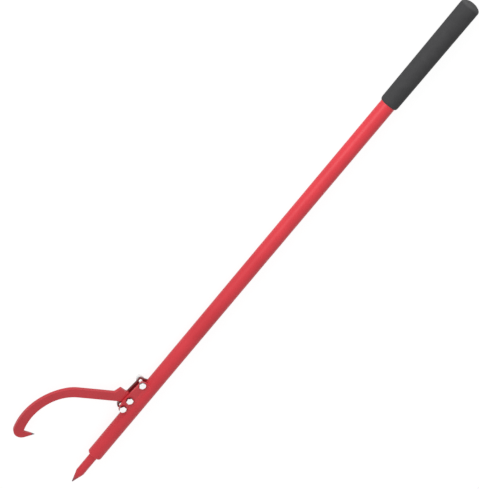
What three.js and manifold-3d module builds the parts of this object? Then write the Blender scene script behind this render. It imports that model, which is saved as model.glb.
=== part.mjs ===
// Peavey: a steel tube handle with a spike at its lower end and a log hook that swings between
// two ears. Millimetres. While the pieces are made, X runs along the handle from the tube's mouth
// toward the grip, Y points to the hook's side and Z is the direction of the hook's pivot.
// At the end the whole tool is moved so that the origin is under the middle of its box.
import * as THREE from 'three';
import { mergeVertices } from 'three/addons/utils/BufferGeometryUtils.js';
import Module from 'manifold-3d';

// Clearances
const fitGap = 0.3; // between a round piece and what it sits in or on
const seatGap = 0.1; // between two flat faces that rest on each other
const cutOverrun = 5; // how far a cutting body runs past what it cuts

// Handle tube
const tubeDiameter = 31;
const tubeWall = 2;
const mouthRounding = 1.8;

// Grip
const gripStart = 930; // from the tube's mouth to the grip's lower edge
const gripLength = 240.7;
const gripWall = 2.9; // at its lower edge
const gripSwell = 1.05; // by which its radius grows toward its end
const gripEndWall = 8;
const gripEdgeRounding = 1.5;
const gripEndRounding = 8;
const gripCrown = 3; // how far its dome would stand out past the rounding, without its flat
const gripLandRadius = 5.5; // of the flat at the dome's middle

// Spike and the plug that holds it in the tube
const spikeDiameter = 18;
const spikeReach = 78.1; // from the tube's mouth to the tip
const spikePointLength = 27.8;
const spikeTipDiameter = 1.4;
const spikeRootDepth = 22; // how far the shank runs into the tube
const spikeRootChamfer = 1;
const plugThickness = 14;
const plugRecess = 1.5;
const spikeWeldLeg = 3;

// Bolts, all on one line beside the tube, which lies where the hook's eye clears the tube
const pivotStation = 149.5; // from the tube's mouth
const upperBoltSpacing = 42.5; // from the pivot toward the grip
const lowerBoltSpacing = 23; // from the pivot toward the spike
const boltDiameter = 8;
const boltLength = 30; // under the head
const headAcrossFlats = 13;
const headHeight = 5.3;
const washerDiameter = 16;
const washerThickness = 1.6;
const nutAcrossFlats = 13;
const nutHexHeight = 6;
const nutCollarHeight = 2;
const nutCollarDiameter = 11.6;
const nutRingThickness = 1.7;
const nutRingWidth = 0.8;
const boltHoleClearance = 0.6; // by which a hole is wider than its bolt

// Ears
const earThickness = 4.8;
const earLowerOverhang = 8.6; // past the lower bolt, toward the spike
const earLowerRise = 4; // of the lower corner, above the bolt line
const earLowerRounding = 4;
const earKneeOffset = 12.8; // from the lower bolt toward the grip
const earKneeRise = 10.2;
const earKneeRounding = 10;
const earUpperOverhang = 5.2; // past the upper bolt, at the upper corner
const earUpperRise = 4.8;
const earUpperRounding = 1.5;
const earEndSlantDegrees = 9.3; // by which the upper end leans out toward its foot
const earWeldLeg = 3.5;
const earWeldEndSetback = 2;

// Hook, drawn from its pivot: aside is toward the grip, up is away from the tube
const hookThickness = 8;
const hookSideGap = 0.5; // between the hook and each ear
const eyeClearance = 1.15; // between the hook's eye and the tube
const barWidth = 17.7; // at the eye
const barOuterSwell = 1.8; // by which the bar's outer edge stands out past the eye's width
const barAngleDegrees = 111.15; // from the grip's direction, as the tool lies at rest
const outerBarLength = 106.6; // from the pivot to the start of the bend
const outerBendRadius = 74.2;
const outerBendDegrees = 20.8;
const outerBowRadius = 122;
const outerBowDegrees = 64.8;
const innerBendLead = 2.9; // how much earlier than the outer edge the inner one bends
const innerBendEasing = 4.5; // how much larger its bend's radius is
const innerBendExcessDegrees = 20.4; // how much further its bend turns
const innerBowInset = 17.9; // how much smaller its bow's radius is
const noseRadius = 17.9;
const noseDegrees = 122.3;
const toothLength = 20.3; // straight outer edge, from the nose to the tip
const toothDegrees = 32.4; // between the tooth's two edges
const tipWidth = 0.6;
const toothBevel = 3.3; // how far the tooth's inner edge is ground back at the rear face
const notchRounding = 1.2;
const lugFootAlong = 32; // along the bar from the pivot
const lugFootRounding = 4;
const lugPeakAside = 12.3;
const lugPeakUp = 28.7;
const lugPeakRounding = 1.6;
const valleyAside = 10.4;
const valleyUp = 14.4;
const valleyRounding = 2;
const shoulderAside = 11.2;
const shoulderUp = 8.6;
const shoulderRounding = 2;

// How finely round forms are divided
const handleSides = 48;
const smallSides = 24;
const degreesPerStep = 5;
const roundingSteps = 4;

const red = { color: 0xc8404c, roughness: 0.42, metalness: 0.1 };
const rubber = { color: 0x46464a, roughness: 0.85, metalness: 0 };
const zinc = { color: 0xd4d6da, roughness: 0.3, metalness: 0.9 };
const nylon = { color: 0xe9eaec, roughness: 0.5, metalness: 0 };

const wasm = await Module();
wasm.setup();

const radians = THREE.MathUtils.degToRad;

// A closed mesh as a solid that can be joined and cut.
function solidOf(geometry) {
  const bare = geometry.index ? geometry.toNonIndexed() : geometry.clone();
  bare.deleteAttribute('normal');
  bare.deleteAttribute('uv');
  const merged = mergeVertices(bare);
  const mesh = new wasm.Mesh({
    numProp: 3,
    vertProperties: new Float32Array(merged.attributes.position.array),
    triVerts: new Uint32Array(merged.index.array),
  });
  return new wasm.Manifold(mesh);
}

// A solid back as a mesh geometry.
function geometryOf(solid) {
  const mesh = solid.getMesh();
  const geometry = new THREE.BufferGeometry();
  geometry.setAttribute('position', new THREE.BufferAttribute(mesh.vertProperties, mesh.numProp));
  geometry.setIndex(new THREE.BufferAttribute(mesh.triVerts, 1));
  return geometry;
}

function piece(name, geometry, look) {
  geometry.computeVertexNormals();
  const mesh = new THREE.Mesh(geometry, new THREE.MeshStandardMaterial(look));
  mesh.name = name;
  return mesh;
}

// Turns a profile of [along, radius] pairs about the handle's axis.
function turned(profile, sides) {
  const points = profile.map(([along, radius]) => new THREE.Vector2(radius, along));
  return new THREE.LatheGeometry(points, sides).rotateZ(-Math.PI / 2);
}

// Turns a profile of [height, radius] pairs about the Z axis.
function turnedUpright(profile, sides) {
  const points = profile.map(([height, radius]) => new THREE.Vector2(radius, height));
  return new THREE.LatheGeometry(points, sides).rotateX(Math.PI / 2);
}

// Points of an arc, from one angle to another, both included.
function arcPoints(centre, radius, fromAngle, toAngle, steps) {
  return Array.from({ length: steps + 1 }, (_, i) => {
    const angle = fromAngle + ((toAngle - fromAngle) * i) / steps;
    return new THREE.Vector2(centre.x + radius * Math.cos(angle), centre.y + radius * Math.sin(angle));
  });
}

// A corner of an outline replaced by an arc of the given radius that touches both its sides.
function roundedCorner(before, corner, after, radius) {
  const into = before.clone().sub(corner).normalize();
  const out = after.clone().sub(corner).normalize();
  const halfAngle = Math.acos(THREE.MathUtils.clamp(into.dot(out), -1, 1)) / 2;
  const middle = into.clone().add(out).normalize();
  const centre = corner.clone().addScaledVector(middle, radius / Math.sin(halfAngle));
  const setback = radius / Math.tan(halfAngle);
  const first = corner.clone().addScaledVector(into, setback).sub(centre);
  const last = corner.clone().addScaledVector(out, setback).sub(centre);
  const sweep = Math.atan2(first.cross(last), first.dot(last));
  const start = Math.atan2(first.y, first.x);
  return arcPoints(centre, radius, start, start + sweep, roundingSteps);
}

// A pen that draws an outline by straight runs and arcs to the left.
class Pen {
  constructor(start, heading) {
    this.at = start.clone();
    this.heading = heading;
    this.points = [start.clone()];
  }

  run(length) {
    this.at.x += length * Math.cos(this.heading);
    this.at.y += length * Math.sin(this.heading);
    this.points.push(this.at.clone());
    return this;
  }

  centreOfArc(radius) {
    const toCentre = this.heading + Math.PI / 2;
    return new THREE.Vector2(
      this.at.x + radius * Math.cos(toCentre),
      this.at.y + radius * Math.sin(toCentre),
    );
  }

  arc(radius, degrees) {
    const sweep = radians(degrees);
    const steps = Math.ceil(degrees / degreesPerStep);
    const from = this.heading - Math.PI / 2;
    const points = arcPoints(this.centreOfArc(radius), radius, from, from + sweep, steps);
    this.points.push(...points.slice(1));
    this.at = this.points.at(-1).clone();
    this.heading += sweep;
    return this;
  }
}

// A flat plate of the given outline, between two heights.
function plate(outline, bottom, top) {
  const shape = new THREE.Shape(outline);
  const geometry = new THREE.ExtrudeGeometry(shape, { depth: top - bottom, bevelEnabled: false });
  return geometry.translate(0, 0, bottom);
}

function uprightCylinder(radius, bottom, top, sides = smallSides) {
  return turnedUpright([[bottom, 0], [bottom, radius], [top, radius], [top, 0]], sides);
}

function hexPrism(acrossFlats, bottom, top) {
  const radius = acrossFlats / 2 / Math.cos(Math.PI / 6);
  return uprightCylinder(radius, bottom, top, 6);
}

const tubeRadius = tubeDiameter / 2;
const tubeBore = tubeRadius - tubeWall;
const gripBore = tubeRadius + fitGap;
const gripEnd = gripStart + gripLength;
const tubeEnd = gripEnd - gripEndWall - seatGap;
const earInner = hookThickness / 2 + hookSideGap;
const earOuter = earInner + earThickness;
const barHalf = barWidth / 2;
const boltHoleDiameter = boltDiameter + boltHoleClearance;
const boltLineHeight = tubeRadius + eyeClearance + barHalf;
const boltStations = {
  pivot: pivotStation,
  upper: pivotStation + upperBoltSpacing,
  lower: pivotStation - lowerBoltSpacing,
};
const earStart = boltStations.lower - earLowerOverhang;

// Where the ears' upper end lies, at a height above the tube's axis.
function earEndAt(height) {
  const drop = boltLineHeight + earUpperRise - height;
  return boltStations.upper + earUpperOverhang + drop * Math.tan(radians(earEndSlantDegrees));
}

function handleTube() {
  const centre = new THREE.Vector2(mouthRounding, tubeRadius - mouthRounding);
  const lip = arcPoints(centre, mouthRounding, Math.PI, Math.PI / 2, roundingSteps);
  const profile = [
    [tubeEnd, tubeBore],
    [0, tubeBore],
    ...lip.map((p) => [p.x, p.y]),
    [tubeEnd, tubeRadius],
    [tubeEnd, tubeBore],
  ];
  return piece('handle_tube', turned(profile, handleSides), red);
}

// The grip's end, from its side to its flat: a rounded rim that runs smoothly into a dome.
function gripEndProfile(endRadius) {
  const rimHeight = endRadius - gripEndRounding;
  const reach = gripEndRounding + gripCrown;
  const domeRadius = (reach ** 2 + rimHeight ** 2 - gripEndRounding ** 2) / (2 * gripCrown);
  const landAngle = Math.asin(gripLandRadius / domeRadius);
  const domeCentre = new THREE.Vector2(gripEnd - domeRadius * Math.cos(landAngle), 0);
  const rimCentre = new THREE.Vector2(domeCentre.x + domeRadius - reach, rimHeight);
  const meeting = rimCentre.clone().sub(domeCentre).angle();
  const rounding = arcPoints(rimCentre, gripEndRounding, Math.PI / 2, meeting, 2 * roundingSteps);
  const dome = arcPoints(domeCentre, domeRadius, meeting, landAngle, roundingSteps);
  return [...rounding, ...dome.slice(1)];
}

function grip() {
  const startRadius = gripBore + gripWall;
  const endRadius = startRadius + gripSwell;
  const edgeCentre = new THREE.Vector2(gripStart + gripEdgeRounding, startRadius - gripEdgeRounding);
  const edge = arcPoints(edgeCentre, gripEdgeRounding, Math.PI, Math.PI / 2, roundingSteps);
  const profile = [
    [gripEnd - gripEndWall, 0],
    [gripEnd - gripEndWall, gripBore],
    [gripStart, gripBore],
    ...edge.map((p) => [p.x, p.y]),
    ...gripEndProfile(endRadius).map((p) => [p.x, p.y]),
    [gripEnd, 0],
  ];
  return piece('grip', turned(profile, handleSides), rubber);
}

function endPlug() {
  const inner = spikeDiameter / 2 + fitGap;
  const outer = tubeBore - fitGap;
  const back = plugRecess + plugThickness;
  const profile = [
    [back, inner],
    [plugRecess, inner],
    [plugRecess, outer],
    [back, outer],
    [back, inner],
  ];
  return piece('end_plug', turned(profile, handleSides), red);
}

function spike() {
  const radius = spikeDiameter / 2;
  const profile = [
    [-spikeReach, 0],
    [-spikeReach, spikeTipDiameter / 2],
    [-spikeReach + spikePointLength, radius],
    [spikeRootDepth - spikeRootChamfer, radius],
    [spikeRootDepth, radius - spikeRootChamfer],
    [spikeRootDepth, 0],
  ];
  return piece('spike', turned(profile, handleSides), red);
}

// The bead in the corner between the spike's shank and the plug's face, no wider than that face.
function spikeWeld() {
  const inner = spikeDiameter / 2 + fitGap;
  const leg = Math.min(spikeWeldLeg, tubeBore - fitGap - inner);
  const foot = plugRecess - seatGap;
  const centre = new THREE.Vector2(foot, inner);
  const bead = arcPoints(centre, leg, Math.PI, Math.PI / 2, roundingSteps);
  const profile = [[foot, inner], ...bead.map((p) => [p.x, p.y]), [foot, inner]];
  return piece('spike_weld', turned(profile, handleSides), red);
}

// The ears' outline: a slanted upper end, a long outer edge with a knee, and a blunt lower end.
function earOutline() {
  const upper = new THREE.Vector2(
    boltStations.upper + earUpperOverhang,
    boltLineHeight + earUpperRise,
  );
  const knee = new THREE.Vector2(boltStations.lower + earKneeOffset, boltLineHeight + earKneeRise);
  const lower = new THREE.Vector2(earStart, boltLineHeight + earLowerRise);
  const upperFoot = new THREE.Vector2(earEndAt(0), 0);
  const lowerFoot = new THREE.Vector2(earStart, 0);
  return [
    upperFoot,
    ...roundedCorner(upperFoot, upper, knee, earUpperRounding),
    ...roundedCorner(upper, knee, lower, earKneeRounding),
    ...roundedCorner(knee, lower, lowerFoot, earLowerRounding),
    lowerFoot,
  ];
}

// One ear, between two heights, with its foot cut to the tube and its three bolt holes.
function ear(name, bottom, top) {
  let solid = solidOf(plate(earOutline(), bottom, top));
  const start = earStart - cutOverrun;
  const end = earEndAt(0) + cutOverrun;
  const saddle = tubeRadius + fitGap;
  const tube = turned([[start, 0], [start, saddle], [end, saddle], [end, 0]], handleSides);
  solid = solid.subtract(solidOf(tube));
  for (const station of Object.values(boltStations)) {
    const hole = uprightCylinder(boltHoleDiameter / 2, bottom - cutOverrun, top + cutOverrun);
    solid = solid.subtract(solidOf(hole.translate(station, boltLineHeight, 0)));
  }
  return piece(name, geometryOf(solid), red);
}

// The bead along an ear's foot, on its outer face. side is 1 above the slot and -1 below it.
function earWeld(name, side) {
  const radius = tubeRadius + fitGap;
  const face = earOuter + seatGap;
  const cornerAngle = Math.acos(face / radius);
  const toeAngle = cornerAngle - earWeldLeg / radius;
  const axis = new THREE.Vector2(0, 0);
  const foot = arcPoints(axis, radius, toeAngle, cornerAngle, roundingSteps);
  const corner = foot.at(-1);
  const head = new THREE.Vector2(corner.x, corner.y + earWeldLeg);
  const toe = foot[0];
  const crown = new THREE.QuadraticBezierCurve(head, new THREE.Vector2(toe.x, head.y), toe);
  const softCrown = crown.getPoints(2 * roundingSteps).slice(1, -1);
  const section = [...foot, head, ...softCrown.map((p) => p.lerp(head.clone().lerp(toe, 0.5), 0.5))];
  const start = earStart + earWeldEndSetback;
  const end = earEndAt(tubeRadius) - earWeldEndSetback;
  const length = end - start;
  const shape = new THREE.Shape(section);
  const geometry = new THREE.ExtrudeGeometry(shape, { depth: length, bevelEnabled: false });
  // The section's first direction is the ear's outward side and its second is up from the tube.
  const turn = new THREE.Matrix4().makeBasis(
    new THREE.Vector3(0, 0, 1),
    new THREE.Vector3(0, 1, 0),
    new THREE.Vector3(-1, 0, 0),
  );
  geometry.applyMatrix4(turn).translate(end, 0, 0);
  if (side < 0) {
    geometry.rotateX(Math.PI).rotateZ(Math.PI).translate(start + end, 0, 0);
  }
  return piece(name, geometry, red);
}

const barHeading = radians(barAngleDegrees);
const alongBar = new THREE.Vector2(Math.cos(barHeading), Math.sin(barHeading));
const asideBar = new THREE.Vector2(alongBar.y, -alongBar.x);

// The hook's outer edge, from the stop lug's foot to the tooth's tip.
function hookOuterEdge() {
  const lugFoot = asideBar.clone().multiplyScalar(barHalf + barOuterSwell);
  lugFoot.addScaledVector(alongBar, lugFootAlong);
  return new Pen(lugFoot, barHeading)
    .run(outerBarLength - lugFootAlong)
    .arc(outerBendRadius, outerBendDegrees)
    .arc(outerBowRadius, outerBowDegrees)
    .arc(noseRadius, noseDegrees)
    .run(toothLength);
}

// Where the tooth's inner edge starts at the tip, a tip's width from its outer edge.
function innerTipCorner(outer) {
  const across = new THREE.Vector2(-Math.sin(outer.heading), Math.cos(outer.heading));
  return outer.at.clone().addScaledVector(across, tipWidth);
}

// The hook's inner edge, from beside the pivot to the notch, where it meets the tooth's inner edge.
function hookInnerEdge(outer) {
  const edge = new Pen(asideBar.clone().multiplyScalar(-barHalf), barHeading)
    .run(outerBarLength - innerBendLead)
    .arc(outerBendRadius + innerBendEasing, outerBendDegrees + innerBendExcessDegrees);
  const bowRadius = outerBowRadius - innerBowInset;
  const centre = edge.centreOfArc(bowRadius);

  const tip = innerTipCorner(outer);
  const toNotch = outer.heading + Math.PI - radians(toothDegrees);
  const toothEdge = new THREE.Vector2(Math.cos(toNotch), Math.sin(toNotch));
  const fromCentre = tip.clone().sub(centre);
  const nearest = -fromCentre.dot(toothEdge);
  const halfChord = Math.sqrt(bowRadius ** 2 - fromCentre.cross(toothEdge) ** 2);
  const notch = fromCentre.addScaledVector(toothEdge, nearest + halfChord);
  const turn = notch.angle() - (edge.heading - Math.PI / 2);
  return edge.arc(bowRadius, THREE.MathUtils.radToDeg(turn));
}

// The hook's outline about its pivot, round from the eye to the eye again.
function hookOutline(outer, inner) {
  const lugFoot = outer.points[0];
  const lugPeak = new THREE.Vector2(lugPeakAside, lugPeakUp);
  const valley = new THREE.Vector2(valleyAside, valleyUp);
  const shoulder = new THREE.Vector2(shoulderAside, shoulderUp);

  const tip = innerTipCorner(outer);
  const innerEdge = inner.points.slice().reverse();
  const notch = roundedCorner(tip, innerEdge[0], innerEdge[1], notchRounding);

  const pivot = new THREE.Vector2(0, 0);
  const eyeStart = barHeading + Math.PI / 2;
  const eyeEnd = 2 * Math.PI + shoulder.angle() - Math.acos(barHalf / shoulder.length());
  const eyeSteps = Math.ceil(THREE.MathUtils.radToDeg(eyeEnd - eyeStart) / (2 * degreesPerStep));
  const eye = arcPoints(pivot, barHalf, eyeStart, eyeEnd, eyeSteps);

  return [
    ...eye.slice(1),
    ...roundedCorner(eye.at(-1), shoulder, valley, shoulderRounding),
    ...roundedCorner(shoulder, valley, lugPeak, valleyRounding),
    ...roundedCorner(valley, lugPeak, lugFoot, lugPeakRounding),
    ...roundedCorner(lugPeak, lugFoot, outer.points[1], lugFootRounding),
    ...outer.points.slice(1),
    tip,
    ...notch,
    ...innerEdge.slice(1),
  ];
}

// The wedge ground off the tooth's inner edge: nothing at the front face, most at the rear face.
function toothWedge(outer, inner) {
  const half = hookThickness / 2;
  const past = cutOverrun / hookThickness;
  const high = new THREE.Vector2(-toothBevel * past, half + cutOverrun);
  const low = new THREE.Vector2(toothBevel * (1 + past), -half - cutOverrun);
  const section = new THREE.Shape([high, new THREE.Vector2(high.x, low.y), low]);

  const tip = innerTipCorner(outer);
  const notch = inner.at;
  const edge = tip.clone().sub(notch);
  const length = edge.length() + cutOverrun - notchRounding;
  const geometry = new THREE.ExtrudeGeometry(section, { depth: length, bevelEnabled: false });
  edge.normalize();
  // The section's first direction is into the tooth and its second is the pivot's direction.
  const turn = new THREE.Matrix4().makeBasis(
    new THREE.Vector3(edge.y, -edge.x, 0),
    new THREE.Vector3(0, 0, 1),
    new THREE.Vector3(-edge.x, -edge.y, 0),
  );
  const end = tip.clone().addScaledVector(edge, cutOverrun);
  return geometry.applyMatrix4(turn).translate(end.x, end.y, 0);
}

function hook() {
  const half = hookThickness / 2;
  const outer = hookOuterEdge();
  const inner = hookInnerEdge(outer);
  const blank = solidOf(plate(hookOutline(outer, inner), -half, half));
  const hole = uprightCylinder(boltHoleDiameter / 2, -half - cutOverrun, half + cutOverrun);
  const cut = blank.subtract(solidOf(hole)).subtract(solidOf(toothWedge(outer, inner)));
  return piece('hook', geometryOf(cut).translate(pivotStation, boltLineHeight, 0), red);
}

const headSeat = earOuter + seatGap;
const washerTop = -earOuter - seatGap;
const nutTop = washerTop - washerThickness - seatGap;
const nutCollarTop = nutTop - nutHexHeight;
const nutBottom = nutCollarTop - nutCollarHeight;

function bolt(name) {
  const head = solidOf(hexPrism(headAcrossFlats, headSeat, headSeat + headHeight));
  const shank = solidOf(uprightCylinder(boltDiameter / 2, headSeat - boltLength, headSeat + seatGap));
  return piece(name, geometryOf(head.add(shank)), zinc);
}

function ring(innerRadius, outerRadius, bottom, top) {
  const profile = [
    [bottom, innerRadius],
    [bottom, outerRadius],
    [top, outerRadius],
    [top, innerRadius],
    [bottom, innerRadius],
  ];
  return turnedUpright(profile, smallSides);
}

function washer(name) {
  const bore = boltHoleDiameter / 2;
  return piece(name, ring(bore, washerDiameter / 2, washerTop - washerThickness, washerTop), zinc);
}

// The locking ring lies in a seat at the nut's outer end, with a clearance to the bolt.
const nutBore = boltDiameter / 2 + fitGap;
const nutRingOuter = nutBore + nutRingWidth;
const nutRingTop = nutBottom + nutRingThickness + seatGap;

function nut(name) {
  const hex = solidOf(hexPrism(nutAcrossFlats, nutCollarTop, nutTop));
  const collar = solidOf(uprightCylinder(nutCollarDiameter / 2, nutBottom, nutCollarTop + seatGap));
  const bore = solidOf(uprightCylinder(nutBore, nutBottom - cutOverrun, nutTop + cutOverrun));
  const seatRadius = nutRingOuter + seatGap;
  const seat = solidOf(uprightCylinder(seatRadius, nutBottom - cutOverrun, nutRingTop + seatGap));
  return piece(name, geometryOf(hex.add(collar).subtract(bore).subtract(seat)), zinc);
}

function nutRing(name) {
  const bottom = nutRingTop - nutRingThickness;
  return piece(name, ring(nutBore, nutRingOuter, bottom, nutRingTop), nylon);
}

const tool = new THREE.Group();
tool.add(
  handleTube(),
  grip(),
  endPlug(),
  spike(),
  spikeWeld(),
  ear('front_ear', earInner, earOuter),
  ear('rear_ear', -earOuter, -earInner),
  earWeld('front_ear_weld', 1),
  earWeld('rear_ear_weld', -1),
  hook(),
);

for (const [place, station] of Object.entries(boltStations)) {
  const fastener = new THREE.Group();
  fastener.position.set(station, boltLineHeight, 0);
  fastener.add(
    bolt(`${place}_bolt`),
    washer(`${place}_washer`),
    nut(`${place}_nut`),
    nutRing(`${place}_nut_ring`),
  );
  tool.add(fastener);
}

// The origin goes under the middle of the tool's box, on the surface that it lies on.
const peavey = new THREE.Group();
peavey.add(tool);
const box = new THREE.Box3().setFromObject(tool);
const middle = box.getCenter(new THREE.Vector3());
tool.position.set(-middle.x, -middle.y, -box.min.z);

export default peavey;
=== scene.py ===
"""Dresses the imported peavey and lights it. Pieces are drawn in millimetres in the tool's own frame:
X runs along the handle from the tube's mouth toward the grip, Y points to the hook's side and Z is
the direction of the hook's pivot. A mesh is moved into the CAD's frame, in metres, when made."""

import math

import bmesh
import bpy
from mathutils import Matrix, Vector
from mathutils.geometry import delaunay_2d_cdt

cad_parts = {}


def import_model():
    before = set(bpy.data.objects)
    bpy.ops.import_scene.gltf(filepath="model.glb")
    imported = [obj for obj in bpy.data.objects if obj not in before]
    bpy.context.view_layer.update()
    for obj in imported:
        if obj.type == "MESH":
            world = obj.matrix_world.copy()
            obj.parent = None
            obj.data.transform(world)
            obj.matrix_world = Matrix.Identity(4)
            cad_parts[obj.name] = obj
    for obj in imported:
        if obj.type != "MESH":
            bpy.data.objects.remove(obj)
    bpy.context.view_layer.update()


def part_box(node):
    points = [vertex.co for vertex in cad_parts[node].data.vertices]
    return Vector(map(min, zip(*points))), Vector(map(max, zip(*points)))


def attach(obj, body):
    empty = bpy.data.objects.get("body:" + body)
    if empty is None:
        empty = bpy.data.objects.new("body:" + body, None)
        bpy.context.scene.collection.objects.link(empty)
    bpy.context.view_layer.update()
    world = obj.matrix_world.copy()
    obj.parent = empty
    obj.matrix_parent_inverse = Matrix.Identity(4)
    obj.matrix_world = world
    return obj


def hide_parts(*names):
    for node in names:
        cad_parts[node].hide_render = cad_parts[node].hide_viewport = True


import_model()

MM = 0.001
tube_low, tube_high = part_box("handle_tube")
OWN_ORIGIN = Vector((tube_low.x, (tube_low.y + tube_high.y) / 2, (tube_low.z + tube_high.z) / 2))

# Sizes of the CAD, in millimetres and degrees
TUBE_RADIUS, TUBE_BORE, TUBE_END, MOUTH_ROUNDING = 15.5, 13.5, 1162.6, 1.8
GRIP_START, GRIP_END, GRIP_END_WALL, GRIP_BORE = 930, 1170.7, 8, 15.8
GRIP_START_RADIUS, GRIP_END_RADIUS = 18.7, 19.75
GRIP_END_ROUNDING, GRIP_CROWN, GRIP_LAND_RADIUS = 8, 3, 5.5
SPIKE_RADIUS, SPIKE_TIP, SPIKE_SHOULDER, SPIKE_ROOT, SPIKE_TIP_RADIUS = 9, -78.1, -50.3, 22, 0.7
PLUG_FACE, PLUG_BACK, SPIKE_WELD_LEG = 1.5, 15.5, 3
BOLT_LINE = 25.5
STATIONS = {"pivot": 149.5, "upper": 192, "lower": 126.5}
BOLT_RADIUS, HOLE_RADIUS, BOLT_END = 4, 4.3, -20.6
HEAD_SEAT, HEAD_HEIGHT, HEAD_FLATS = 9.4, 5.3, 13
WASHER_TOP, WASHER_BOTTOM, WASHER_RADIUS = -9.4, -11, 8
NUT_TOP, NUT_COLLAR_TOP, NUT_BOTTOM, NUT_COLLAR_RADIUS = -11.1, -17.1, -19.1, 5.8
RING_INNER, RING_OUTER, RING_TOP, RING_BOTTOM = 4.3, 5.1, -17.3, -19
EAR_INNER, EAR_OUTER = 4.5, 9.3
EAR_UPPER, EAR_KNEE, EAR_LOWER = (197.2, 30.3), (139.3, 35.7), (117.9, 29.5)
EAR_UPPER_ROUNDING, EAR_KNEE_ROUNDING, EAR_LOWER_ROUNDING, EAR_END_SLANT = 1.5, 10, 4, 9.3
EAR_WELD_LEG, EAR_WELD_SETBACK = 3.5, 2
HOOK_HALF, BAR_HALF, BAR_SWELL, BAR_ANGLE = 4, 8.85, 1.8, 111.15
OUTER_BAR, OUTER_BEND, OUTER_BOW = 106.6, (74.2, 20.8), (122, 64.8)
NOSE, TOOTH = (17.9, 122.3), 20.3
INNER_BAR, INNER_BEND, INNER_BOW = 103.7, (78.7, 41.2), (104.1, 47.43)
TOOTH_ANGLE, TIP_WIDTH, TOOTH_BEVEL, NOTCH_ROUNDING = 32.4, 0.6, 3.3, 1.2
LUG_FOOT_ALONG, LUG_PEAK, LUG_VALLEY, LUG_SHOULDER = 32, (12.3, 28.7), (10.4, 14.4), (11.2, 8.6)
LUG_FOOT_ROUNDING, LUG_PEAK_ROUNDING, LUG_VALLEY_ROUNDING, LUG_SHOULDER_ROUNDING = 4, 1.6, 2, 2

# Sizes that only the dressed pieces have, in millimetres
TUBE_END_ROUNDING, MOUTH_BORE_ROUNDING = 0.3, 0.4
LIP_LENGTH, LIP_FOOT_RADIUS, LIP_SQUEEZE = 6.5, 15.9, 0.35
SPIKE_TIP_ROUNDING, SPIKE_SHOULDER_ROUNDING, SPIKE_ROOT_ROUNDING = 0.5, 12, 1
PLUG_OVERLAP = 0.05
EAR_SUNK, EAR_RIM, HOOK_RIM = 0.3, 0.35, 0.6
THREAD_PITCH, THREAD_DEPTH, THREAD_START, THREAD_FADE = 1.25, 0.62, -1.0, 2
SHANK_FILLET, END_CONE_DEPTH, END_CONE_SLOPE = 0.3, 0.9, 1.1
HEAD_FACE_RADIUS, HEAD_DISH_RADIUS, HEAD_DISH = 4.1, 3.4, 0.35
HEAD_CHAMFER_SHARE, HEAD_SEAT_SHARE, HEAD_FOOT = 0.94, 0.95, 0.35
NUT_CHAMFER_SHARE, NUT_COLLAR_ROUNDING, NUT_COLLAR_TAPER, NUT_GAP = 0.96, 1.1, 0.45, 0.1
NUT_SINK_WIDTH, NUT_SINK_DEPTH, HEAD_BEVEL, NUT_BEVEL = 0.7, 0.4, 0.12, 0.1
WASHER_BORE_ROUNDING, WASHER_ROUNDING, RING_BORE_ROUNDING, RING_ROUNDING = 0.15, 0.3, 0.2, 0.15

# How finely round forms are cut
TUBE_SIDES, SPIKE_SIDES, SPIKE_WELD_SIDES, FASTENER_SIDES, HOLE_SIDES = 160, 96, 288, 72, 48
GRIP_RIM_STEPS, GRIP_DOME_STEPS, LIP_DEGREES, EYE_STEPS, THREAD_STEPS = 20, 10, 9, 60, 8
DEGREES_PER_HOOK_STEP, SHARP_DEGREES, WELD_CREASE = 1.5, 28, 60


# Outlines


def arc(centre, radius, start, end, steps):
    """Points on an arc, from one angle to another in radians, both included."""
    angles = [start + (end - start) * i / steps for i in range(steps + 1)]
    return [(centre[0] + radius * math.cos(a), centre[1] + radius * math.sin(a)) for a in angles]


def rounded_corner(before, corner, after, radius, steps=6):
    """A corner replaced by an arc that touches both its sides."""
    if radius == 0:
        return [tuple(corner)]
    corner = Vector(corner)
    into = (Vector(before) - corner).normalized()
    out = (Vector(after) - corner).normalized()
    half = into.angle(out) / 2
    centre = corner + (into + out).normalized() * radius / math.sin(half)
    setback = radius / math.tan(half)
    first = corner + into * setback - centre
    last = corner + out * setback - centre
    sweep = math.atan2(first.x * last.y - first.y * last.x, first.dot(last))
    start = math.atan2(first.y, first.x)
    return arc(centre, radius, start, start + sweep, steps)


def rounded(corners, steps=6):
    """A closed outline of (x, y, radius) corners with each corner rounded."""
    points = []
    for i, (x, y, radius) in enumerate(corners):
        before, after = corners[i - 1][:2], corners[(i + 1) % len(corners)][:2]
        points += rounded_corner(before, (x, y), after, radius, steps)
    return points


class Pen:
    """Draws an outline by straight runs and arcs to the left."""

    def __init__(self, start, heading):
        self.at, self.heading, self.points = tuple(start), heading, [tuple(start)]

    def run(self, length):
        x, y = self.at
        self.at = (x + length * math.cos(self.heading), y + length * math.sin(self.heading))
        self.points.append(self.at)
        return self

    def arc(self, radius, degrees):
        x, y = self.at
        to_centre = self.heading + math.pi / 2
        centre = (x + radius * math.cos(to_centre), y + radius * math.sin(to_centre))
        start, sweep = self.heading - math.pi / 2, math.radians(degrees)
        steps = math.ceil(degrees / DEGREES_PER_HOOK_STEP)
        self.points += arc(centre, radius, start, start + sweep, steps)[1:]
        self.at, self.heading = self.points[-1], self.heading + sweep
        return self


def inset(points, amounts):
    """A closed outline, drawn to the left, with each point moved in by its own amount, or by up to
    twice that at a sharp corner."""
    moved = []
    for i, p in enumerate(points):
        p = Vector(p)
        into = (p - Vector(points[i - 1])).normalized()
        out = (Vector(points[(i + 1) % len(points)]) - p).normalized()
        left_in, left_out = Vector((-into.y, into.x)), Vector((-out.y, out.x))
        middle = (left_in + left_out).normalized()
        moved.append(tuple(p + middle * amounts[i] / max(middle.dot(left_in), 0.5)))
    return moved


# Meshes


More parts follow.
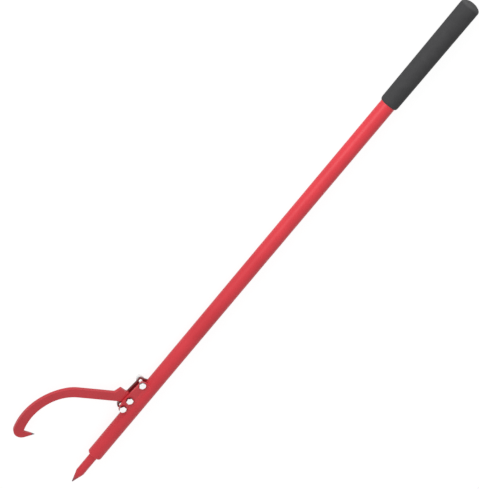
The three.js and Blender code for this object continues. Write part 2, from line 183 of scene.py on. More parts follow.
def new_object(name, data):
    """An object in the scene for a mesh, lamp or camera."""
    thing = bpy.data.objects.new(name, data)
    bpy.context.scene.collection.objects.link(thing)
    return thing


def mark_for_bevel(mesh, point_count):
    """Gives a bevel weight to the sharp edges among a mesh's first points."""
    net = bmesh.new()
    net.from_mesh(mesh)
    weight = net.edges.layers.float.new("bevel_weight_edge")
    for edge in net.edges:
        among_first = all(v.index < point_count for v in edge.verts)
        if among_first and edge.calc_face_angle(0) > math.radians(SHARP_DEGREES):
            edge[weight] = 1
    net.to_mesh(mesh)
    net.free()


def add_piece(name, shape, material, body, nodes, crease=35, bevel=0, bevelled=None):
    """Makes a mesh piece that stands for CAD nodes and rides on their body. A shape is its points
    and faces. The bevel, in millimetres, may be kept to the first so many of its points."""
    points, faces = shape
    mesh = bpy.data.meshes.new(name)
    mesh.from_pydata([OWN_ORIGIN + Vector(p) * MM for p in points], [], faces)
    mesh.validate()
    if bevel:
        mark_for_bevel(mesh, len(points) if bevelled is None else bevelled)
    mesh.shade_smooth()
    mesh.set_sharp_from_angle(angle=math.radians(crease))
    mesh.materials.append(material)
    piece = new_object(name, mesh)
    if bevel:
        soften = piece.modifiers.new("edges", "BEVEL")
        soften.width, soften.segments = bevel * MM, 2
        soften.limit_method = "WEIGHT"
    weighted = piece.modifiers.new("normals", "WEIGHTED_NORMAL")
    weighted.keep_sharp = True
    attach(piece, body)
    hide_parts(*nodes)


def skin(rings, closed=False):
    """A surface over rings of points. A ring of one point closes an end. Rings are drawn to the
    left about the direction that they follow each other in."""
    points, faces, starts = [], [], []
    for ring in rings:
        starts.append(len(points))
        points += ring
    for a in range(len(rings) if closed else len(rings) - 1):
        b = (a + 1) % len(rings)
        na, nb, sa, sb = len(rings[a]), len(rings[b]), starts[a], starts[b]
        for i in range(max(na, nb)):
            j = (i + 1) % max(na, nb)
            if na == 1:
                faces.append((sa, sb + j, sb + i))
            elif nb == 1:
                faces.append((sa + i, sa + j, sb))
            else:
                faces.append((sa + i, sa + j, sb + j, sb + i))
    return points, faces


def flipped(shape):
    """A shape with its faces turned over."""
    points, faces = shape
    return points, [face[::-1] for face in faces]


def about_x(along, radius, sides):
    """A ring about the handle's axis."""
    if radius == 0:
        return [(along, 0, 0)]
    turns = [2 * math.pi * i / sides for i in range(sides)]
    return [(along, radius * math.cos(a), radius * math.sin(a)) for a in turns]


def lathe_x(profile, sides):
    """A shape turned about the handle's axis from (along, radius) pairs."""
    closed = profile[0][1] > 0
    return skin([about_x(x, r, sides) for x, r in profile], closed)


def about_z(centre, height, radius, sides, turn=0):
    """A ring about a bolt's axis. Height and radius are numbers or functions of the angle."""
    turns = [2 * math.pi * i / sides for i in range(sides)]
    ring = []
    for a in turns:
        r = radius(a) if callable(radius) else radius
        z = height(a) if callable(height) else height
        ring.append((centre[0] + r * math.cos(a + turn), centre[1] + r * math.sin(a + turn), z))
    return ring[:1] if radius == 0 else ring


def lathe_z(centre, profile):
    """A shape turned about a bolt's axis from a closed loop of (height, radius) pairs."""
    return flipped(skin([about_z(centre, z, r, FASTENER_SIDES) for z, r in profile], closed=True))


def filled(loops):
    """Triangles, facing up, between an outline and the holes in it. A loop is (index, point)
    pairs."""
    index = [i for loop in loops for i, _ in loop]
    flat = [Vector(p[:2]) for loop in loops for _, p in loop]
    edges, start = [], 0
    for loop in loops:
        count = len(loop)
        edges += [(start + i, start + (i + 1) % count) for i in range(count)]
        start += count
    inside_with_holes, tolerance = 2, 1e-6
    found = delaunay_2d_cdt(flat, edges, [], inside_with_holes, tolerance)
    faces = [tuple(index[found[3][i][0]] for i in face) for face in found[2]]
    holes = [{i for i, _ in loop} for loop in loops[1:]]
    return [face for face in faces if not any(hole.issuperset(face) for hole in holes)]


def plate(outline_at, levels, holes):
    """A flat plate with rounded rims. outline_at(height, inset) gives its outline at a level, and
    levels are (height, inset) pairs from the bottom up. Holes are (centre, radius)."""
    hole_rim_share = 0.2
    stacks = [[[(x, y, z) for x, y in outline_at(z, edge)] for z, edge in levels]]
    for centre, radius in holes:
        rings = [
            about_z(centre, z, radius + edge * hole_rim_share, HOLE_SIDES) for z, edge in levels
        ]
        stacks.append([ring[::-1] for ring in rings])
    points, faces, bottoms, tops = [], [], [], []
    for rings in stacks:
        base = len(points)
        more, sides = skin(rings)
        points += more
        faces += [tuple(base + i for i in face) for face in sides]
        top = len(points) - len(rings[-1])
        bottoms.append([(base + i, p) for i, p in enumerate(rings[0])])
        tops.append([(top + i, p) for i, p in enumerate(rings[-1])])
    faces += filled(tops)
    faces += [face[::-1] for face in filled(bottoms)]
    return points, faces


def rim_levels(bottom, top, radius):
    """Levels of a plate whose rims are rounded by a radius."""
    steps = 4
    turns = [math.pi / 2 * i / steps for i in range(steps + 1)]
    rim = [(bottom + radius * (1 - math.sin(a)), radius * (1 - math.cos(a))) for a in turns]
    return rim[::-1] + [(bottom + top - z, edge) for z, edge in rim]


# Materials

RED_LOW, RED_HIGH = (0.70, 0.040, 0.056, 1), (0.80, 0.050, 0.068, 1)
HOOK_RED_LOW, HOOK_RED_HIGH = (0.64, 0.036, 0.050, 1), (0.74, 0.045, 0.061, 1)
# Painted shade and a nearly black painted shadow for the ears, between and beside the hook.
SHADED_RED, DEEP_SHADOW_RED = (0.33, 0.018, 0.024, 1), (0.13, 0.011, 0.013, 1)
BARE_STEEL, WORN_STEEL = (0.055, 0.048, 0.052, 1), (0.18, 0.080, 0.105, 1)
RUBBER_LOW, RUBBER_HIGH = (0.0325, 0.0325, 0.034, 1), (0.0415, 0.0415, 0.043, 1)
# The paler rubber tone is a painted highlight for the grip's domed end.
RUBBER_SPECK, LIT_END_RUBBER = (0.058, 0.058, 0.06, 1), (0.088, 0.088, 0.090, 1)
ZINC_LOW, ZINC_HIGH = (0.88, 0.88, 0.88, 1), (0.97, 0.97, 0.96, 1)
# Tones for the bolt heads' flats: painted shade, darker toward the seat on the ear.
PAINTED_SHADE_FLAT, PAINTED_SEAT_SHADE = (0.22, 0.19, 0.19, 1), (0.12, 0.08, 0.085, 1)
NYLON_LOW, NYLON_HIGH = (0.74, 0.75, 0.77, 1), (0.82, 0.83, 0.85, 1)
TUBE_GLOSS, HOOK_GLOSS = 0.34, 0.45

# How far painted light and shade reach, in millimetres: the painted highlight from the grip's end,
# the painted shade down and up a bolt's head, and past an ear's faces
LIT_END_FADE, LIT_END_FULL = 11, 6
HEAD_BRIGHT, HEAD_SHADE_RISE, HEAD_MARGIN = 0.9, 1.3, 0.2
EAR_SHADE, EAR_MARGIN = 1.2, 0.15


class Nodes:
    """Adds shader nodes to a node tree."""

    def __init__(self, tree):
        self.tree = tree

    def add(self, kind, inputs=None, **settings):
        """A new node. Its inputs are values, or sockets that are linked to it."""
        node = self.tree.nodes.new("ShaderNode" + kind)
        for key, value in settings.items():
            setattr(node, key, value)
        for key, value in (inputs or {}).items():
            if isinstance(value, bpy.types.NodeSocket):
                self.tree.links.new(value, node.inputs[key])
            else:
                node.inputs[key].default_value = value
        return node

    def spread(self, factor, low, high, start=0.0, end=1.0):
        """A factor mapped from start and end to low and high."""
        inputs = {"Value": factor, "From Min": start, "From Max": end}
        return self.add("MapRange", inputs | {"To Min": low, "To Max": high}).outputs["Result"]

    def math(self, operation, first, second):
        return self.add("Math", {0: first, 1: second}, operation=operation).outputs[0]


class Finish(Nodes):
    """A material with one Principled shader and a few nodes in the piece's own coordinates."""

    def __init__(self, name, **constants):
        self.material = bpy.data.materials.new(name)
        self.material.use_nodes = True
        super().__init__(self.material.node_tree)
        self.shader = self.tree.nodes["Principled BSDF"]
        self.place = self.add("TexCoord").outputs["Object"]
        for socket, value in constants.items():
            self.shader.inputs[socket.replace("_", " ")].default_value = value

    def drive(self, socket, value):
        self.tree.links.new(value, self.shader.inputs[socket])

    def noise(self, size_mm, detail, roughness=0.5):
        """Noise whose lumps are about this large."""
        inputs = {"Vector": self.place, "Scale": 1 / (size_mm * MM), "Detail": detail}
        return self.add("TexNoise", inputs | {"Roughness": roughness}).outputs["Fac"]

    def mix(self, factor, first, second):
        """One colour mixed with another."""
        a, b, result = 6, 7, 2  # the node's sockets for colours
        inputs = {"Factor": factor, a: first, b: second}
        return self.add("Mix", inputs, data_type="RGBA").outputs[result]

    def bump(self, height, depth_mm, normal=None):
        inputs = {"Height": height, "Distance": depth_mm * MM, "Strength": 1.0}
        if normal is not None:
            inputs["Normal"] = normal
        return self.add("Bump", inputs).outputs["Normal"]

    def along(self, axis):
        return self.add("SeparateXYZ", {0: self.place}).outputs[axis]

    def below(self, height, blend):
        """1 where the surface lies lower than a height above the hook's middle and 0 above it, with
        a blend just under the height, in millimetres."""
        top = OWN_ORIGIN.z + height * MM
        return self.spread(self.along("Z"), 1, 0, top - blend * MM, top)


class Paint(Finish):
    """Red powder coat with a fine orange peel."""

    def __init__(self, name, low=RED_LOW, high=RED_HIGH, gloss=0.5):
        super().__init__(name, Specular_IOR_Level=gloss)
        patches = self.spread(self.noise(size_mm=60, detail=3), 0, 1, start=0.3, end=0.7)
        self.coat = self.tone = self.mix(patches, low, high)
        self.drive("Roughness", self.spread(self.noise(size_mm=18, detail=3), 0.34, 0.46))
        peel = self.bump(self.noise(size_mm=2.6, detail=1), depth_mm=0.05)
        grain = self.noise(size_mm=0.8, detail=2)
        self.drive("Normal", self.bump(grain, depth_mm=0.012, normal=peel))
        self.drive("Base Color", self.coat)

    def lay(self, factor, tone):
        """Lays a tone over what is there."""
        self.tone = self.mix(factor, self.tone, tone)
        self.drive("Base Color", self.tone)

    def wear(self, point, length, steel, solid, metallic=0):
        """Lets the coat give way to steel near a point, in millimetres. The steel is solid up to a
        share of the length."""
        at = OWN_ORIGIN + Vector(point) * MM
        away = self.add("VectorMath", {0: self.place, 1: at}, operation="DISTANCE").outputs["Value"]
        ragged = self.spread(self.noise(size_mm=2.5, detail=3), -0.25, 0.25)
        reach = self.math("ADD", self.math("DIVIDE", away, length * MM), ragged)
        bare = self.spread(reach, 1, 0, start=solid, end=1.0)
        if metallic:
            self.drive("Metallic", self.math("MULTIPLY", bare, metallic))
        self.lay(bare, steel)


def rubber(name):
    """Charcoal rubber, with its domed end made paler by a painted highlight."""
    finish = Finish(name, Specular_IOR_Level=0.35)
    clouds = finish.noise(size_mm=14, detail=4, roughness=0.6)
    clouds = finish.spread(clouds, 0, 1, start=0.3, end=0.7)
    specks = finish.noise(size_mm=1.1, detail=3, roughness=0.7)
    specks = finish.spread(specks, 0, 1, start=0.35, end=0.75)
    tone = finish.mix(clouds, RUBBER_LOW, RUBBER_HIGH)
    tone = finish.mix(finish.math("MULTIPLY", specks, 0.3), tone, RUBBER_SPECK)
    # The grip's domed end is painted paler: a painted highlight where light falls on it.
    end = OWN_ORIGIN.x + GRIP_END * MM
    fade, full = end - LIT_END_FADE * MM, end - LIT_END_FULL * MM
    lit_end = finish.spread(finish.along("X"), 0, 1, start=fade, end=full)
    finish.drive("Base Color", finish.mix(lit_end, tone, LIT_END_RUBBER))
    finish.drive("Roughness", finish.spread(specks, 0.72, 0.88))
    grain = finish.bump(finish.noise(size_mm=0.7, detail=3, roughness=0.6), depth_mm=0.07)
    dents = finish.noise(size_mm=5, detail=2)
    finish.drive("Normal", finish.bump(dents, depth_mm=0.08, normal=grain))
    return finish.material


def zinc(name, metallic):
    """Bright zinc. The bolts' heads carry painted shade on their flats, darkest where they stand on
    the ear."""
    finish = Finish(name, Metallic=metallic)
    cloud = finish.noise(size_mm=3, detail=4, roughness=0.6)
    bright = finish.mix(finish.spread(cloud, 0, 1, start=0.3, end=0.7), ZINC_LOW, ZINC_HIGH)
    under_top = finish.below(HEAD_SEAT + HEAD_HEIGHT - HEAD_BRIGHT, blend=0.5)
    seat_shade = finish.below(HEAD_SEAT + HEAD_SHADE_RISE, blend=0.8)
    under_head = OWN_ORIGIN.z + (HEAD_SEAT - HEAD_MARGIN) * MM
    on_head = finish.math("GREATER_THAN", finish.along("Z"), under_head)
    flats = finish.math("MULTIPLY", under_top, on_head)
    # The flats get painted shade that deepens toward the seat.
    side = finish.mix(seat_shade, PAINTED_SHADE_FLAT, PAINTED_SEAT_SHADE)
    finish.drive("Base Color", finish.mix(flats, bright, side))
    finish.drive("Roughness", finish.spread(finish.noise(size_mm=1.2, detail=3), 0.24, 0.38))
    pits = finish.noise(size_mm=0.5, detail=3, roughness=0.6)
    finish.drive("Normal", finish.bump(pits, depth_mm=0.006))
    return finish.material


def nylon(name):
    finish = Finish(name)
    cloud = finish.noise(size_mm=1.5, detail=2)
    finish.drive("Base Color", finish.mix(cloud, NYLON_LOW, NYLON_HIGH))
    finish.drive("Roughness", finish.spread(cloud, 0.42, 0.55))
    finish.drive("Normal", finish.bump(finish.noise(size_mm=0.6, detail=2), depth_mm=0.01))
    return finish.material


# The hook's edges, drawn from its pivot

bar_heading = math.radians(BAR_ANGLE)
along_bar = Vector((math.cos(bar_heading), math.sin(bar_heading)))
aside_bar = Vector((along_bar.y, -along_bar.x))
lug_foot = aside_bar * (BAR_HALF + BAR_SWELL) + along_bar * LUG_FOOT_ALONG
hook_outer = Pen(lug_foot, bar_heading).run(OUTER_BAR - LUG_FOOT_ALONG)
hook_outer.arc(*OUTER_BEND).arc(*OUTER_BOW).arc(*NOSE).run(TOOTH)
hook_inner = Pen(aside_bar * -BAR_HALF, bar_heading).run(INNER_BAR).arc(*INNER_BEND).arc(*INNER_BOW)
tooth_along = Vector((math.cos(hook_outer.heading), math.sin(hook_outer.heading)))
tooth_across = Vector((-tooth_along.y, tooth_along.x))
tooth_tip = Vector(hook_outer.at)


def hook_points(cut):
    """The hook's outline with the tooth's inner edge ground back by a distance. It has the same
    number of points at each cut. Each point's share says how wide its rim may be rounded."""
    points, shares = [], []

    def add(more, share=1.0):
        points.extend(tuple(p) for p in more)
        shares.extend([share] * len(more))

    shoulder = Vector(LUG_SHOULDER)
    shoulder_angle = math.atan2(shoulder.y, shoulder.x) - math.acos(BAR_HALF / shoulder.length)
    eye = arc((0, 0), BAR_HALF, bar_heading + math.pi / 2, 2 * math.pi + shoulder_angle, EYE_STEPS)
    add(eye)
    add(rounded_corner(eye[-1], LUG_SHOULDER, LUG_VALLEY, LUG_SHOULDER_ROUNDING))
    add(rounded_corner(LUG_SHOULDER, LUG_VALLEY, LUG_PEAK, LUG_VALLEY_ROUNDING))
    add(rounded_corner(LUG_VALLEY, LUG_PEAK, lug_foot, LUG_PEAK_ROUNDING))
    add(rounded_corner(LUG_PEAK, lug_foot, hook_outer.points[1], LUG_FOOT_ROUNDING))
    add(hook_outer.points[1:-1])

    back = cut / math.sin(math.radians(TOOTH_ANGLE))
    tip = tooth_tip - tooth_along * back
    inner_tip = tip + tooth_across * TIP_WIDTH
    lead, lead_share, tip_share, edge_steps = 3, 0.6, 0.25, 12
    add([tip - tooth_along * lead], lead_share)
    add([tip, inner_tip], tip_share)
    notch = Vector(hook_inner.at)
    root = rounded_corner(inner_tip, notch, hook_inner.points[-2], NOTCH_ROUNDING)
    for i in range(1, edge_steps):
        along = i / edge_steps
        add([inner_tip.lerp(Vector(root[0]), along)], min(tip_share + 2 * along, 1.0))
    add(root)
    add(hook_inner.points[-2:0:-1])
    return points, shares


def hook_outline(z, edge):
    points, shares = hook_points(TOOTH_BEVEL * (HOOK_HALF - z) / (2 * HOOK_HALF))
    moved = inset(points, [edge * share for share in shares])
    return [(x + STATIONS["pivot"], y + BOLT_LINE) for x, y in moved]


def ear_outline(z, edge):
    """An ear's outline at a height. Its foot follows the tube and sinks a little into its skin."""
    foot = math.sqrt((TUBE_RADIUS - EAR_SUNK) ** 2 - z**2)
    slant = math.tan(math.radians(EAR_END_SLANT))
    corners = [
        (EAR_UPPER[0] + (EAR_UPPER[1] - foot) * slant, foot, 0),
        (*EAR_UPPER, EAR_UPPER_ROUNDING),
        (*EAR_KNEE, EAR_KNEE_ROUNDING),
        (*EAR_LOWER, EAR_LOWER_ROUNDING),
        (EAR_LOWER[0], foot, 0),
    ]
    points = rounded(corners, steps=8)
    return inset(points, [edge] * len(points))


# Pieces


def handle_tube():
    corners = [
        (TUBE_END, TUBE_BORE, TUBE_END_ROUNDING),
        (0, TUBE_BORE, MOUTH_BORE_ROUNDING),
        (0, TUBE_RADIUS, MOUTH_ROUNDING),
        (TUBE_END, TUBE_RADIUS, TUBE_END_ROUNDING),
    ]
    shape = lathe_x(rounded(corners), TUBE_SIDES)
    paint = Paint("tube_paint", gloss=TUBE_GLOSS).material
    add_piece("tube_skin", shape, paint, "handle", ["handle_tube"])


def grip():
    rim_height, reach = GRIP_END_RADIUS - GRIP_END_ROUNDING, GRIP_END_ROUNDING + GRIP_CROWN
    dome_radius = (reach**2 + rim_height**2 - GRIP_END_ROUNDING**2) / (2 * GRIP_CROWN)
    land_angle = math.asin(GRIP_LAND_RADIUS / dome_radius)
    dome_centre = (GRIP_END - dome_radius * math.cos(land_angle), 0)
    rim_centre = (dome_centre[0] + dome_radius - reach, rim_height)
    meeting = math.atan2(rim_height, rim_centre[0] - dome_centre[0])
    rim = arc(rim_centre, GRIP_END_ROUNDING, math.pi / 2, meeting, GRIP_RIM_STEPS)
    dome = arc(dome_centre, dome_radius, meeting, land_angle, GRIP_DOME_STEPS)[1:]
    lip_height = GRIP_START_RADIUS - LIP_FOOT_RADIUS
    lip = [
        (GRIP_START + LIP_LENGTH * (1 - math.cos(a)), LIP_FOOT_RADIUS + lip_height * math.sin(a))
        for a in (math.radians(d) for d in range(0, 91, LIP_DEGREES))
    ]
    inside = [
        (GRIP_END - GRIP_END_WALL, 0),
        (GRIP_END - GRIP_END_WALL, GRIP_BORE),
        (GRIP_START, GRIP_BORE - LIP_SQUEEZE),
    ]
    shape = lathe_x(inside + lip + rim + dome + [(GRIP_END, 0)], TUBE_SIDES)
    add_piece("grip_sleeve", shape, rubber("grip_rubber"), "handle", ["grip"])


def spike():
    corners = [
        (SPIKE_TIP, 0, 0),
        (SPIKE_TIP, SPIKE_TIP_RADIUS, SPIKE_TIP_ROUNDING),
        (SPIKE_SHOULDER, SPIKE_RADIUS, SPIKE_SHOULDER_ROUNDING),
        (SPIKE_ROOT, SPIKE_RADIUS, SPIKE_ROOT_ROUNDING),
        (SPIKE_ROOT, 0, 0),
    ]
    shape = lathe_x(rounded(corners), SPIKE_SIDES)
    paint = Paint("spike_paint", gloss=TUBE_GLOSS)
    paint.wear((SPIKE_TIP, 0, 0), length=21, steel=WORN_STEEL, solid=0.08)
    add_piece("spike_pin", shape, paint.material, "handle", ["spike"])


def end_plug(material):
    inner, outer = SPIKE_RADIUS - PLUG_OVERLAP, TUBE_BORE + PLUG_OVERLAP
    profile = [(PLUG_BACK, inner), (PLUG_FACE, inner), (PLUG_FACE, outer), (PLUG_BACK, outer)]
    shape = lathe_x(profile, SPIKE_SIDES)
    add_piece("plug_disc", shape, material, "handle", ["end_plug"])


def rippled(phase):
    """How full a weld bead stands along its crescent steps, as a share."""
    depth = 0.07
    return 1 - depth + depth * math.sin(math.pi * (phase % 1) ** 0.7)


def spike_weld(material):
    sides, ripples, steps = SPIKE_WELD_SIDES, 26, 10
    rings = []
    for n in range(steps + 1):
        lean = math.pi / 2 * n / steps
        bow = 0.35 * math.sin(2 * lean)
        ring = []
        for i in range(sides):
            angle = 2 * math.pi * i / sides
            leg = SPIKE_WELD_LEG * rippled(ripples * i / sides + bow)
            radius = SPIKE_RADIUS + leg * math.sin(lean)
            along = PLUG_FACE - leg * math.cos(lean)
            ring.append((along, radius * math.cos(angle), radius * math.sin(angle)))
        rings.append(ring)
    # The rest lies hidden in the plug and the spike
    in_plug, in_spike = PLUG_FACE + 0.2, SPIKE_RADIUS - 0.1
    rings.append(about_x(in_plug, SPIKE_RADIUS + SPIKE_WELD_LEG - 0.3, sides))
    rings.append(about_x(in_plug, in_spike, sides))
    rings.append(about_x(PLUG_FACE - SPIKE_WELD_LEG + 0.4, in_spike, sides))
    shape = skin(rings, closed=True)
    add_piece(
        "spike_bead", shape, material, "handle", ["spike_weld"],
        crease=WELD_CREASE,
    )


def ear_weld(name, side, node, material):
    """The bead in the corner between an ear's outer face and the tube. Side is 1 or -1."""
    start = EAR_LOWER[0] + EAR_WELD_SETBACK
    slant = math.tan(math.radians(EAR_END_SLANT))
    end = EAR_UPPER[0] + (EAR_UPPER[1] - TUBE_RADIUS) * slant - EAR_WELD_SETBACK
    corner = math.acos(EAR_OUTER / TUBE_RADIUS)
    corner_y = TUBE_RADIUS * math.sin(corner)
    sunk_radius, sunk_angle = TUBE_RADIUS - 1, corner - 0.1
    sunk_y, sunk_z = math.sin(sunk_angle) * sunk_radius, math.cos(sunk_angle) * sunk_radius
    in_ear = EAR_OUTER - 0.4
    steps, steps_across, pitch, end_length, end_swell = 260, 10, 2.4, 3.0, 0.08
    rings = []
    for i in range(steps + 1):
        x = start + (end - start) * i / steps
        from_end = min(x - start, end - x, end_length) / end_length
        swell = math.sqrt(max(1 - (1 - from_end) ** 2, 0)) * (1 - end_swell) + end_swell
        ring = []
        for n in range(steps_across + 1):
            share = n / steps_across
            bow = 0.4 * math.sin(math.pi * share)
            leg = EAR_WELD_LEG * swell * rippled(x / pitch + bow)
            toe = corner - leg / TUBE_RADIUS
            head = Vector((EAR_OUTER, corner_y + leg))
            foot = Vector((TUBE_RADIUS * math.cos(toe), TUBE_RADIUS * math.sin(toe)))
            crown = Vector((foot.x, head.y))
            chord = head.lerp(foot, share)
            curve = head.lerp(crown, share).lerp(crown.lerp(foot, share), share)
            z, y = chord.lerp(curve, 0.5)
            ring.append((x, y, side * z))
        ring.append((x, sunk_y, side * sunk_z))
        ring.append((x, sunk_y, side * in_ear))
        ring.append((x, corner_y + EAR_WELD_LEG * swell - 0.2, side * in_ear))
        rings.append(ring if side > 0 else ring[::-1])
    points, faces = skin(rings)
    count = len(rings[0])
    faces.append(tuple(range(count))[::-1])
    faces.append(tuple(range(len(points) - count, len(points))))
    shape = (points, faces)
    add_piece(name, shape, material, "handle", [node], crease=WELD_CREASE)


def ears():
    """The ears' faces toward the hook carry painted shade. The far ear's cut edges carry a nearly
    black painted shadow down to its outer face, which has the plain coat."""
    paint = Paint("ear_paint")
    # Painted shade below the near ear's inner face, then a nearly black painted shadow on the far
    # ear's edges.
    paint.lay(paint.below(EAR_INNER + EAR_SHADE, blend=0.3), SHADED_RED)
    paint.lay(paint.below(-EAR_INNER - EAR_MARGIN, blend=0.1), DEEP_SHADOW_RED)
    paint.lay(paint.below(-EAR_OUTER + EAR_MARGIN, blend=0.1), paint.coat)
    material = paint.material
    holes = [((station, BOLT_LINE), HOLE_RADIUS) for station in STATIONS.values()]
    front = plate(ear_outline, rim_levels(EAR_INNER, EAR_OUTER, EAR_RIM), holes)
    rear = plate(ear_outline, rim_levels(-EAR_OUTER, -EAR_INNER, EAR_RIM), holes)
    add_piece("front_ear_plate", front, material, "handle", ["front_ear"])
    add_piece("rear_ear_plate", rear, material, "handle", ["rear_ear"])


def hook():
    pivot = (STATIONS["pivot"], BOLT_LINE)
    tip = (*(Vector(pivot) + tooth_tip), HOOK_HALF)
    paint = Paint("hook_paint", HOOK_RED_LOW, HOOK_RED_HIGH, HOOK_GLOSS)
    paint.wear(tip, length=7.5, steel=BARE_STEEL, solid=0.7, metallic=0.3)
    levels = rim_levels(-HOOK_HALF, HOOK_HALF, HOOK_RIM)
    shape = plate(hook_outline, levels, [(pivot, HOLE_RADIUS)])
    add_piece("hook_arm", shape, paint.material, "hook", ["hook"])


def hexagon(across_flats):
    """The radius of a hexagon by angle. A corner lies at the start."""
    return lambda a: across_flats / 2 / math.cos((a % (math.pi / 3)) - math.pi / 6)


def chamfered(height, hex_radius, start, direction):
    """The height of a hexagon's rim under a cone that starts at a radius."""
    fall = math.tan(math.radians(30))
    return lambda a: height - direction * (hex_radius(a) - start) * fall


def thread_radius(z, angle):
    """The bolt's surface, with its thread and a cone at its end."""
    share = (z / THREAD_PITCH - angle / (2 * math.pi)) % 1
    flank, crest = 1.3, 0.15
    groove = max(min(abs(2 * share - 1) * flank - crest, 1), 0)
    fade = min(max((THREAD_START - z) / THREAD_FADE, 0), 1)
    cone = BOLT_RADIUS - END_CONE_DEPTH + (z - BOLT_END) * END_CONE_SLOPE
    return min(BOLT_RADIUS - THREAD_DEPTH * groove * fade, cone)


def bolt(name, material, turn):
    centre = (STATIONS[name], BOLT_LINE)
    top = HEAD_SEAT + HEAD_HEIGHT
    flats = hexagon(HEAD_FLATS)
    chamfer_start = HEAD_FLATS / 2 * HEAD_CHAMFER_SHARE
    seat_radius = HEAD_FLATS / 2 * HEAD_SEAT_SHARE

    def ring(height, radius, spin):
        return about_z(centre, height, radius, FASTENER_SIDES, spin)

    head_rings = [
        ring(top - HEAD_DISH, 0, turn),
        ring(top - HEAD_DISH, HEAD_DISH_RADIUS, turn),
        ring(top, HEAD_FACE_RADIUS, turn),
        ring(top, chamfer_start, turn),
        ring(chamfered(top, flats, chamfer_start, 1), flats, turn),
        ring(HEAD_SEAT + HEAD_FOOT, flats, turn),
        ring(HEAD_SEAT + HEAD_FOOT, seat_radius, turn),
        ring(HEAD_SEAT, seat_radius, turn),
    ]
    shank_start = HEAD_SEAT - SHANK_FILLET
    length = shank_start - BOLT_END
    count = int(length / (THREAD_PITCH / THREAD_STEPS))
    shank_rings = [ring(HEAD_SEAT, BOLT_RADIUS + SHANK_FILLET, 0)]
    for i in range(count + 1):
        z = shank_start - length * i / count
        shank_rings.append(ring(z, lambda a, z=z: thread_radius(z, a), 0))
    shank_rings.append(ring(BOLT_END, 0, 0))
    shape = flipped(skin(head_rings + shank_rings))
    head_points = sum(len(head_ring) for head_ring in head_rings)
    add_piece(
        f"{name}_screw", shape, material, "handle", [f"{name}_bolt"],
        crease=30, bevel=HEAD_BEVEL, bevelled=head_points,
    )


def washer(name, material):
    corners = [
        (WASHER_BOTTOM, HOLE_RADIUS, WASHER_BORE_ROUNDING),
        (WASHER_TOP, HOLE_RADIUS, WASHER_BORE_ROUNDING),
        (WASHER_TOP, WASHER_RADIUS, WASHER_ROUNDING),
        (WASHER_BOTTOM, WASHER_RADIUS, WASHER_ROUNDING),
    ]
    shape = lathe_z((STATIONS[name], BOLT_LINE), rounded(corners, steps=3))
    add_piece(f"{name}_flat_ring", shape, material, "handle", [f"{name}_washer"])


def nut(name, material, turn):
    centre = (STATIONS[name], BOLT_LINE)
    flats = hexagon(HEAD_FLATS)
    chamfer_start = HEAD_FLATS / 2 * NUT_CHAMFER_SHARE

    def ring(height, radius):
        return about_z(centre, height, radius, FASTENER_SIDES, turn)

    def collar_ring(angle):
        rise = NUT_COLLAR_ROUNDING * (1 - math.sin(angle))
        taper = NUT_COLLAR_ROUNDING * (1 - math.cos(angle)) * NUT_COLLAR_TAPER
        return ring(NUT_BOTTOM + rise, NUT_COLLAR_RADIUS - taper)

    inner = RING_OUTER + NUT_GAP
    rings = [
        ring(NUT_TOP, BOLT_RADIUS + NUT_SINK_WIDTH),
        ring(NUT_TOP, chamfer_start),
        ring(chamfered(NUT_TOP, flats, chamfer_start, 1), flats),
        ring(chamfered(NUT_COLLAR_TOP, flats, chamfer_start, -1), flats),
        ring(NUT_COLLAR_TOP, chamfer_start),
        ring(NUT_COLLAR_TOP, NUT_COLLAR_RADIUS),
        *[collar_ring(math.radians(d)) for d in (0, 20, 40, 60, 75, 90)],
        ring(NUT_BOTTOM, inner),
        ring(RING_TOP + NUT_GAP, inner),
        ring(RING_TOP + NUT_GAP, RING_INNER),
        ring(NUT_TOP - NUT_SINK_DEPTH, RING_INNER),
    ]
    shape = flipped(skin(rings, closed=True))
    add_piece(
        f"{name}_lock_nut", shape, material, "handle", [f"{name}_nut"],
        crease=30, bevel=NUT_BEVEL,
    )


def nut_ring(name, material):
    corners = [
        (RING_BOTTOM, RING_INNER, RING_BORE_ROUNDING),
        (RING_TOP, RING_INNER, 0),
        (RING_TOP, RING_OUTER, 0),
        (RING_BOTTOM, RING_OUTER, RING_ROUNDING),
    ]
    shape = lathe_z((STATIONS[name], BOLT_LINE), rounded(corners, steps=3))
    add_piece(f"{name}_insert", shape, material, "handle", [f"{name}_nut_ring"])


handle_tube()
grip()
spike()
fitting_paint = Paint("fitting_paint").material
end_plug(fitting_paint)
spike_weld(fitting_paint)
ears()
ear_weld("front_bead", 1, "front_ear_weld", fitting_paint)
ear_weld("rear_bead", -1, "rear_ear_weld", fitting_paint)
hook()
bolt_zinc = zinc("bright_zinc", metallic=1.0)
nut_zinc = zinc("dull_zinc", metallic=0.6)
washer_zinc = zinc("pale_zinc", metallic=0.05)
white_nylon = nylon("white_nylon")
for place, degrees in (("pivot", 8), ("upper", 35), ("lower", 22)):
    bolt(place, bolt_zinc, math.radians(degrees))
    washer(place, washer_zinc)
    nut(place, nut_zinc, math.radians(degrees + 17))
    nut_ring(place, white_nylon)


# Floor, light and camera

AMBIENT = 0.49
FLOOR_GLOW, FLOOR_SHADE, FLOOR_BOUNCE = 0.88, 0.25, 0.65


def grey(tone):
    return (tone, tone, tone, 1)


def seen_directly(nodes):
    """1 for camera, glossy and transmission rays."""
    ray = nodes.add("LightPath").outputs
    seen = nodes.math("MAXIMUM", ray["Is Camera Ray"], ray["Is Glossy Ray"])
    return nodes.math("MAXIMUM", seen, ray["Is Transmission Ray"])


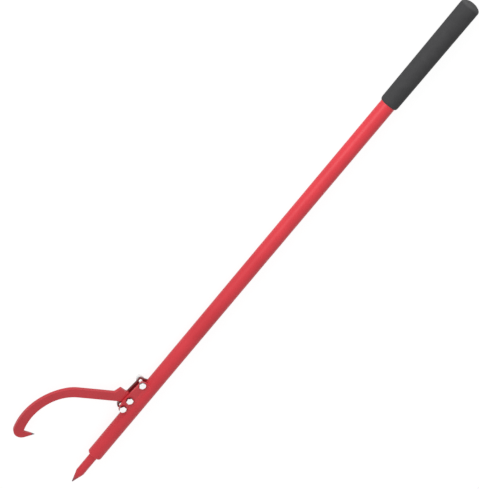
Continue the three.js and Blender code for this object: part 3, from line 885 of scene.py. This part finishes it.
def floor():
    """A pale floor that glows almost white where it is seen, and keeps the object's shadow."""
    half = 15
    mesh = bpy.data.meshes.new("floor")
    corners = [(-half, -half, 0), (half, -half, 0), (half, half, 0), (-half, half, 0)]
    mesh.from_pydata(corners, [], [(0, 1, 2, 3)])
    plane = new_object("floor", mesh)
    material = bpy.data.materials.new("floor")
    material.use_nodes = True
    material.node_tree.nodes.clear()
    nodes = Nodes(material.node_tree)
    plain = nodes.add("BsdfDiffuse", {"Color": grey(FLOOR_BOUNCE)}).outputs[0]
    shade = nodes.add("BsdfDiffuse", {"Color": grey(FLOOR_SHADE)}).outputs[0]
    glow = nodes.add("Emission", {"Strength": FLOOR_GLOW}).outputs[0]
    both = nodes.add("AddShader", {0: shade, 1: glow}).outputs[0]
    shown = nodes.add("MixShader", {"Fac": seen_directly(nodes), 1: plain, 2: both}).outputs[0]
    nodes.add("OutputMaterial", {"Surface": shown})
    mesh.materials.append(material)


def world():
    """Plain white light from all around, which is full white where it is seen."""
    sky = bpy.data.worlds.new("studio")
    bpy.context.scene.world = sky
    sky.use_nodes = True
    nodes = Nodes(sky.node_tree)
    background = nodes.tree.nodes["Background"]
    background.inputs["Color"].default_value = grey(1)
    strength = nodes.spread(seen_directly(nodes), AMBIENT, 1.0)
    nodes.tree.links.new(strength, background.inputs["Strength"])


def lamp(name, position, target, size, watts):
    """A square soft box. Places are in the tool's own frame, in millimetres."""
    light = bpy.data.lights.new(name, "AREA")
    light.shape, light.size, light.energy = "SQUARE", size * MM, watts
    box = new_object(name, light)
    aim = Vector(target) - Vector(position)
    box.location = OWN_ORIGIN + Vector(position) * MM
    box.rotation_euler = aim.to_track_quat("-Z", "Y").to_euler()
    box.visible_camera = False


def camera():
    """The photograph's view: 479 by 489 pixels, with the lens and place found from the handle's
    ends, the bolt heads and the hook's outline."""
    right = (0.6133699778939212, -0.7441627997276181, 0.2645732369684497)
    down = (-0.7378049232733945, -0.4203544237988025, 0.5281534375409453)
    forward = (-0.28181761018777873, -0.5191568991107888, -0.8068797609890331)
    eye = Vector((1387.31132514, 1605.39720991, 2409.68576198))
    image_height, focal_pixels = 489, 1563.2836
    lens = bpy.data.cameras.new("camera")
    lens.sensor_width = 36
    lens.lens = focal_pixels / image_height * lens.sensor_width
    lens.clip_end = 100
    view = new_object("camera", lens)
    axes = Matrix((right, [-c for c in down], [-c for c in forward])).transposed()
    view.matrix_world = Matrix.Translation(OWN_ORIGIN + eye * MM) @ axes.to_4x4()
    bpy.context.scene.camera = view


floor()
world()
lamp("key", position=(1180, 634, 296), target=(860, 0, 0), size=400, watts=2.35)
lamp("fill", position=(650, 1359, 634), target=(650, 0, 0), size=800, watts=6.8)
camera()
bpy.context.scene.view_settings.view_transform = "Standard"
